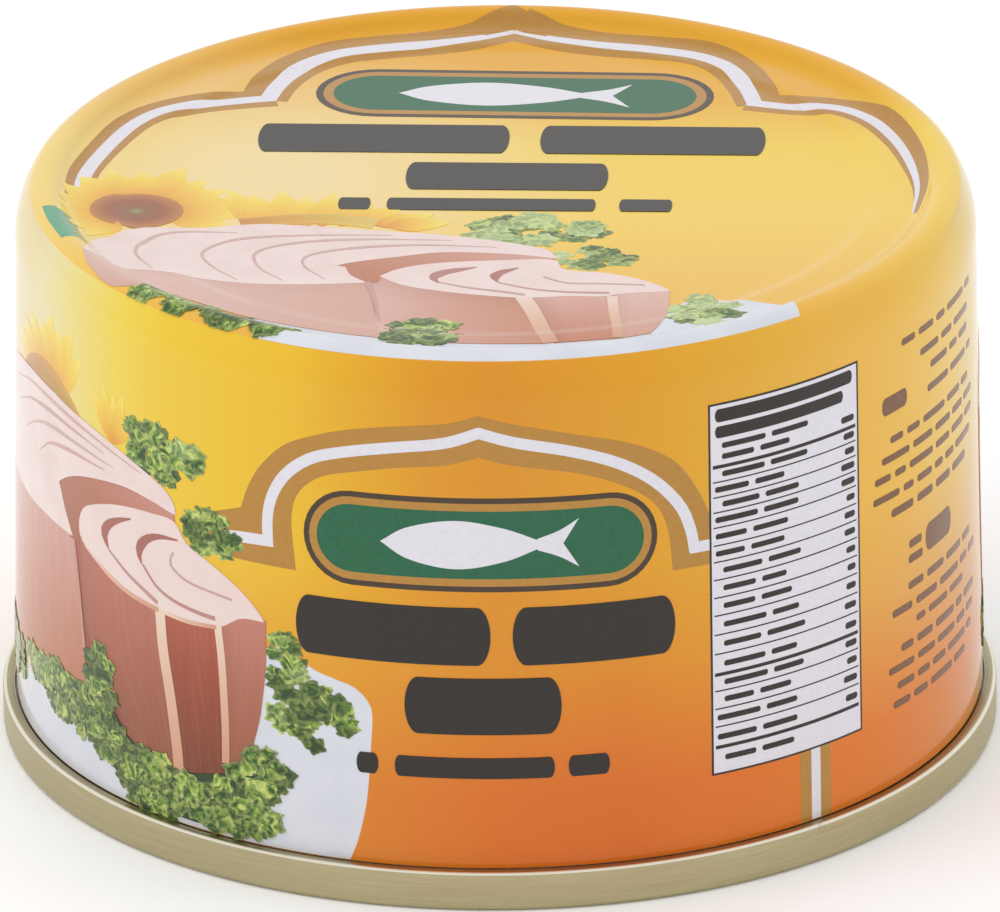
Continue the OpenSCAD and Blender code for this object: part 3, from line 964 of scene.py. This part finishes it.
ink("picture_fish_sides", tuna_side_ink, 13, wall=sides_wall, lid=sides_lid)

# Inner wall of the cut, ruled from its far edge to its near edge
cut_wall = ruled([
    (0.42, [(-24.0, 25.5), (-26, 26.0), (-28.6, 26.2), (-31, 25.9), (-33.3, 25.4), (-35.1, 24.9),
            (-36.9, 24.1), (-37.2, 22.9), (-36.7, 21.7), (-35.9, 20.7), (-35.4, 19.9)],
     [(-23.9, 24.7), (-26, 24.6), (-28, 24.4), (-30, 24.0), (-32.1, 23.3), (-33.3, 22.6),
      (-33.9, 21.9), (-34.0, 21.1), (-34.3, 19.9)]),
], wall_step)
cut_lid = ruled([
    (0.1, [(3.9, -12.2), (0.9, -11.2), (-3.5, -10.8), (-6.6, -11.4), (-9.9, -12.2),
           (-10.7, -13.7), (-10.4, -15), (-9.3, -16.2)],
     [(3.8, -12.9), (-0.4, -12.8), (-3.5, -13.0), (-6.1, -13.8), (-7.4, -14.6), (-7.7, -15.4),
      (-8.0, -16.3)]),
], lid_step)
ink("picture_fish_cut", tuna_side_ink, 16, wall=cut_wall, lid=cut_lid)

tuna_face_ink, tree, shader, grain, along, across, where, tone = shaded_ink("tuna_face_litho_ink")
# Cut face of cooked tuna: pale pink, clouded over 2.5 mm, a little lighter at its near edge
cloudy = add(tree, "ShaderNodeTexNoise", {"Vector": where, "Scale": 4, "Detail": 4})
face = add(tree, "ShaderNodeValToRGB", {"Fac": cloudy.outputs["Fac"]},
           stops=[(0.3, "#DFC6C1"), (0.7, "#E9D5D2")]).outputs["Color"]
near = add(tree, "ShaderNodeValToRGB", {"Fac": across}, stops=[(0.75, "#000000"), (1.0, "#909090")])
face = add(tree, "ShaderNodeMix", {0: near.outputs["Color"], 6: face, 7: "#F0DDD8"},
           data_type="RGBA").outputs[2]
face = add(tree, "ShaderNodeMix", {0: tone, 6: face, 7: "#E6CFC9"}, data_type="RGBA").outputs[2]
tree.links.new(face, shader.inputs["Base Color"])

# The block's face is in three patches round the notch of the cut, then comes the slices' face
face_wall = ruled([
    (0.3, [(-54.2, 23.4), (-53.8, 25.0), (-52, 26.8), (-49.5, 28.1), (-46, 29.1), (-42, 29.6),
           (-37.5, 29.6)],
     [(-54.2, 23.4), (-53.6, 21.6), (-51.6, 20.5), (-48, 20.1), (-43, 20.0), (-40, 20.1),
      (-36.9, 20.1)]),
    (0.3, [(-37.2, 23.4), (-37.2, 20.1)], [(-36.85, 22.9), (-36.2, 21.7), (-35.1, 20.1)]),
    (0.3, [(-38, 29.6), (-36, 29.4), (-32, 28.9), (-28.6, 28.2), (-26, 27.4), (-24.7, 26.8),
           (-23.9, 25.9), (-23.8, 25.3)],
     [(-37.6, 23.0), (-36.5, 23.8), (-35.1, 24.5), (-33.3, 25.1), (-31, 25.6), (-28.6, 25.9),
      (-26, 25.7), (-24.0, 25.3)]),
    (0.6, [(-34.2, 21.1), (-34.1, 21.9), (-33.5, 22.8), (-32.1, 23.5), (-30, 24.2), (-28, 24.6),
           (-26, 24.8), (-24, 24.8), (-22.9, 23.5), (-21.4, 22.8), (-19.6, 21.9), (-18.2, 21),
           (-17, 19.9), (-16.5, 19.2)],
     [(-34.2, 21.1), (-33.9, 20.4), (-32.1, 19.6), (-30, 18.8), (-28, 18.3), (-26, 18.0),
      (-24, 17.9), (-22, 17.9), (-20, 18.1), (-18.3, 19.1), (-16.5, 19.2)]),
], wall_step)
face_lid = ruled([
    (0.3, [(-27.9, -12.6), (-27.3, -9), (-26, -8.2), (-24.1, -6.3), (-20.1, -6.4), (-16, -5.8),
           (-11.5, -6.4)],
     [(-27.9, -12.6), (-26.4, -13.8), (-23.2, -14.3), (-20.1, -15.3), (-16.9, -16.2),
      (-13.5, -16.5), (-10.3, -16.4)]),
    (0.3, [(-10.9, -13.2), (-10.7, -16.4)], [(-10.2, -13.5), (-9.8, -15), (-8.7, -16.3)]),
    (0.3, [(-11.9, -6.4), (-7.9, -7.2), (-4.1, -7.9), (-0.4, -9), (2.1, -10), (3.5, -10.9),
           (4.2, -12.4)],
     [(-11.1, -13.4), (-9.4, -12.6), (-6.6, -11.8), (-3.5, -11.1), (0.9, -11.5), (4.2, -12.4)]),
    (0.6, [(-7.9, -15.2), (-6.5, -13.9), (-4, -13), (0, -12.6), (3.8, -12.6), (4.6, -14.3),
           (7.4, -15), (9.6, -16.1), (11.2, -17.5), (11.7, -18.3)],
     [(-7.9, -15.2), (-6.3, -16.8), (-3.8, -17.9), (-1, -18.7), (1.8, -19.2), (4.9, -19.0),
      (7.1, -19.1), (8.7, -18.6), (11.7, -18.3)]),
], lid_step)
ink("picture_fish_faces", tuna_face_ink, 17, wall=face_wall, lid=face_lid)

# ----------------------------------------
# Print: slice edges and flake lines. Warm cream edges part the slices, and thin rose lines curve
# over the faces where one flake of the meat ends and the next begins.
# ----------------------------------------


def bands(rows, step):
    """Each row's tone with the band of its width along its line."""
    return [(tone, ribbon(line, wide, step)) for tone, line, wide in rows]


edge_ink, tree, shader, grain, along, across, where, tone = shaded_ink("tuna_edge_litho_ink")
# Outer edge of a slice: warm cream that reddens downwards, flecked every 0.4 mm
down = add(tree, "ShaderNodeValToRGB", {"Fac": along}, stops=[
    (0.0, "#E6CDBC"), (0.4, "#DCB49B"), (1.0, "#CB9576"),
]).outputs["Color"]
flecks = add(tree, "ShaderNodeTexNoise", {"Vector": where, "Scale": 25, "Detail": 2})
flecked = add(tree, "ShaderNodeValToRGB", {"Fac": flecks.outputs["Fac"]},
              stops=[(0.4, "#000000"), (0.7, "#303030")])
down = add(tree, "ShaderNodeMix", {0: flecked.outputs["Color"], 6: down, 7: "#B98468"},
           data_type="RGBA").outputs[2]
tree.links.new(down, shader.inputs["Base Color"])

edges_wall = bands([
    (0.9, [(-25.3, 18.1), (-25, 15.2), (-24.4, 12.2), (-24, 9.8), (-23.7, 7.7), (-23.6, 6.4)], 0.9),
    (0.9, [(-20.2, 18.2), (-19.9, 15.8), (-19.7, 12.8), (-19.6, 10.4), (-19.6, 8.2)], 0.6),
    (0.9, [(-34.0, 20.9), (-33.6, 20.2), (-32.1, 19.5), (-30, 18.7), (-28, 18.2), (-25.4, 17.9)],
     (0.1, 0.35, 0.35)),
    (0.9, [(-24.9, 17.9), (-22.7, 17.8), (-20.3, 18.0)], 0.3),
], wall_step)
edges_lid = bands([
    (0.9, [(1.8, -19.1), (2.4, -21.4), (2.9, -23.9), (3.3, -26.1), (3.6, -27.5)], 1.1),
    (0.9, [(7.8, -19.1), (7.9, -22), (8.1, -24.5), (8.1, -26.7)], 0.7),
], lid_step)
ink("picture_slice_edges", edge_ink, 19, wall=edges_wall, lid=edges_lid)

flake_ink, tree, shader, grain, along, across, where, tone = shaded_ink("tuna_flake_line_litho_ink")
# Gaps between flakes: a soft rose line, deeper where tone is higher, uneven every 0.3 mm
uneven = add(tree, "ShaderNodeTexNoise", {"Vector": where, "Scale": 30, "Detail": 2})
rose = add(tree, "ShaderNodeValToRGB", {"Fac": uneven.outputs["Fac"]},
           stops=[(0.3, "#C9A59D"), (0.7, "#D6B5AE")]).outputs["Color"]
rose = add(tree, "ShaderNodeMix", {0: tone, 6: rose, 7: "#A05E50"}, data_type="RGBA").outputs[2]
tree.links.new(rose, shader.inputs["Base Color"])

# Hair lines taper at both ends
wall_hair, lid_hair = (0.05, 0.32, 0.05), (0.05, 0.4, 0.05)
lines_wall = bands([
    (0.1, [(-47, 27.4), (-43, 28.6), (-39, 28.9), (-34, 28.6), (-30, 28.0), (-27, 27.4)], wall_hair),
    (0.2, [(-46, 26.0), (-42.5, 27.4), (-38.5, 28.0), (-34, 27.9), (-31, 27.6)], wall_hair),
    (0.1, [(-44, 24.8), (-41, 26.3), (-38, 27.0), (-34, 27.1), (-30, 26.9)], wall_hair),
    (0.2, [(-40.6, 24.4), (-38.4, 25.7), (-35, 26.3), (-31, 26.4)], wall_hair),
    (0.95, [(-30.55, 20.8), (-31.0, 21.7), (-30.6, 22.5), (-29.5, 23.2), (-28.1, 23.75)],
     (0.1, 0.85, 0.6, 0.35, 0.1)),
    (0.95, [(-27.0, 20.8), (-27.3, 21.7), (-26.6, 22.7), (-25.3, 23.3), (-23.6, 23.5)],
     (0.1, 0.8, 0.55, 0.3, 0.1)),
    (0.5, [(-30.6, 20.8), (-28.6, 19.7), (-26.9, 19.0), (-25.5, 18.4)], (0.15, 0.3)),
    (0.6, [(-26.9, 20.8), (-25.6, 19.6), (-24, 19.0), (-22, 18.7), (-20.4, 18.6)], (0.15, 0.3)),
    (0.25, [(-24.0, 22.5), (-24.3, 21.6), (-23.0, 20.8), (-21, 20.5), (-19, 20.3)], 0.16),
    (0.5, [(-34.9, 20.0), (-34.4, 17.5), (-34.0, 15.2), (-33.5, 12.2)], 0.3),
], wall_step)
lines_lid = bands([
    (0.1, [(-23.2, -14.0), (-24.4, -11), (-23.4, -8.2), (-21.5, -7.1), (-17.5, -7.3)], lid_hair),
    (0.1, [(-17.5, -15.6), (-19.3, -13), (-19.8, -10.6), (-17.5, -8.5), (-13, -7.9), (-7, -8.0)],
     lid_hair),
    (0.1, [(-14.4, -15.8), (-16.0, -13.5), (-16.2, -10.8), (-13.5, -9.2), (-9, -8.7), (-3, -9.0)],
     lid_hair),
    (0.15, [(-11.6, -15.6), (-13.0, -13.2), (-12.6, -11.4), (-9.5, -10.2), (-5, -9.8), (0, -10.3)],
     lid_hair),
    (0.75, [(-3.9, -16.5), (-4.2, -15.5), (-3.4, -14.6), (-1.3, -13.8)], (0.1, 0.9, 0.7, 0.1)),
    (0.85, [(0.05, -16.4), (-0.05, -15.4), (0.4, -14.7), (1.5, -14.0)], (0.1, 0.8, 0.6, 0.1)),
    (0.35, [(-3.9, -16.4), (-1.8, -17.4), (0.3, -18.1), (1.9, -18.7)], (0.15, 0.3)),
    (0.4, [(0.1, -16.5), (2.4, -17.7), (4.9, -18.3), (7.6, -18.5)], (0.15, 0.3)),
    (0.2, [(3.2, -15.6), (4.8, -16.7), (7.4, -16.9), (10, -17.2)], 0.18),
    (0.4, [(-8.7, -16.2), (-8.4, -18.0), (-8.1, -20.6), (-7.9, -23.0)], (0.4, 0.3, 0.05)),
], lid_step)
ink("picture_flake_lines", flake_ink, 21, wall=lines_wall, lid=lines_lid)

# ----------------------------------------
# Print: lettuce in front. More curly lettuce in the same ink, printed last so that it covers the
# foot of the block and the slices. A dark green shade lies under it between the slices' feet.
# ----------------------------------------

wall_front = ruled([
    (0.0, [(-34.5, 9.0), (-31, 9.5), (-28, 7.4), (-24, 6.6), (-19, 7.6), (-16, 8.6)],
     [(-34.5, 6.6), (-31, 5.4), (-28, 3.9), (-24, 3.3), (-19, 3.6), (-16, 6.0)]),
], wall_step)
wall_front += clump([
    (-38.5, 8.0, 5.4, 1.5, 40, 0.95), (-49.0, 7.0, 4.6, 1.7, 34, 0.95),
    (-31.6, 10.0, 1.5, 3.6, 26, 0.85), (-31.6, 6.8, 3.2, 1.6, 26, 0.95),
    (-25.6, 5.2, 3.6, 1.9, 40, 0.95), (-19.2, 5.0, 3.6, 1.7, 36, 0.9),
    (-16.9, 8.0, 1.9, 1.8, 22, 0.85)], draw)
lid_front = clump([(-22.8, -19.9, 1.4, 1.0, 16, 0.75), (-20.4, -22.2, 1.7, 1.3, 22, 0.8),
                   (-17.6, -24.4, 1.7, 1.3, 22, 0.8), (-14.9, -26.2, 1.3, 0.9, 14, 0.75)],
                  draw, 1.15)
lid_front += clump([(-5.0, -25.2, 2.4, 2.0, 28, 0.9)], draw, 1.45)
ink("picture_lettuce_in_front", leaf_ink, 25, wall=wall_front, lid=lid_front,
    part_rise=0.001)
